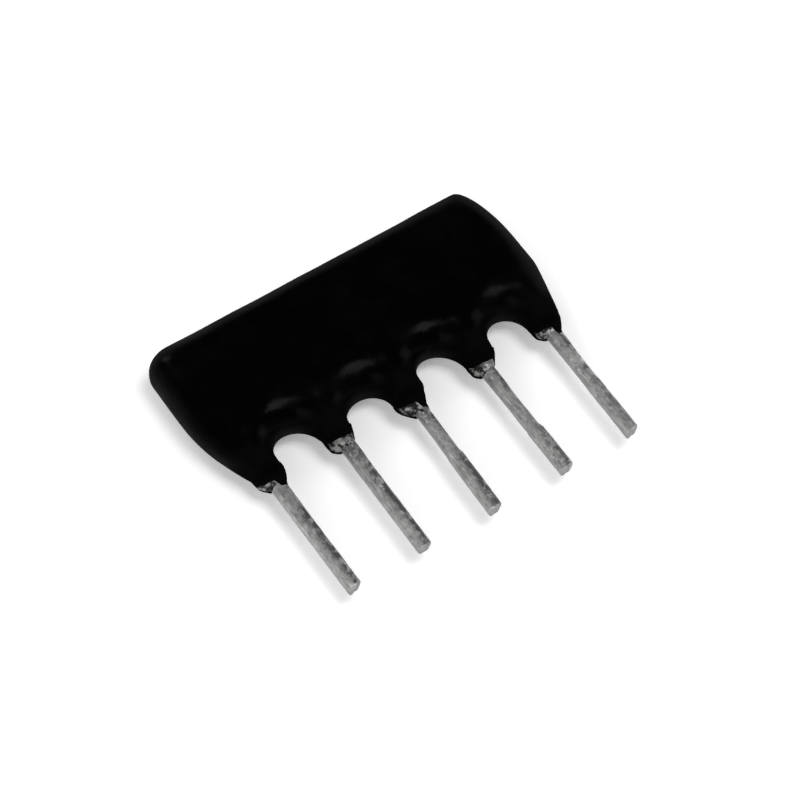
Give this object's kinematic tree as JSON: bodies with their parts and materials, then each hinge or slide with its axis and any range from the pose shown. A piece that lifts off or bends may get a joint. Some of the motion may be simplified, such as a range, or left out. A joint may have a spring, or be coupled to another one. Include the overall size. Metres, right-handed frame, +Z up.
{
  "type": "resistor network",
  "caption": "In-line resistor network: film resistors on a ceramic plate under a dipped black coating, with a row of flat tinned clip leads along one edge.",
  "frame": {"origin": "middle of the part's outline, on the plane of its flat back", "axes": "+X along the lead row, +Y from the leads towards the body's top edge, +Z up out of the front face"},
  "size_m": [0.0124, 0.0106, 0.0018],
  "materials": {
    "coating": "black dipped epoxy, satin gloss",
    "ceramic": "white fired alumina",
    "overglaze": "green glass film",
    "conductor": "fired silver-palladium film",
    "resistor": "matt fired resistor film",
    "tinned_lead": "hot-tinned, dull grey with dark mottling",
    "solder": "bright solder with dark pits"
  },
  "bodies": {
    "root": {"coating": "coating", "substrate": "ceramic", "overglaze": "overglaze", "conductor_bus": "conductor", "conductor_pad_2": "conductor", "conductor_pad_3": "conductor", "conductor_pad_4": "conductor", "conductor_pad_5": "conductor", "resistor_1": "resistor", "resistor_2": "resistor", "resistor_3": "resistor", "resistor_4": "resistor", "lead_1": "tinned_lead", "lead_2": "tinned_lead", "lead_3": "tinned_lead", "lead_4": "tinned_lead", "lead_5": "tinned_lead", "solder_1": "solder", "solder_2": "solder", "solder_3": "solder", "solder_4": "solder", "solder_5": "solder"}
  },
  "joints": []
}
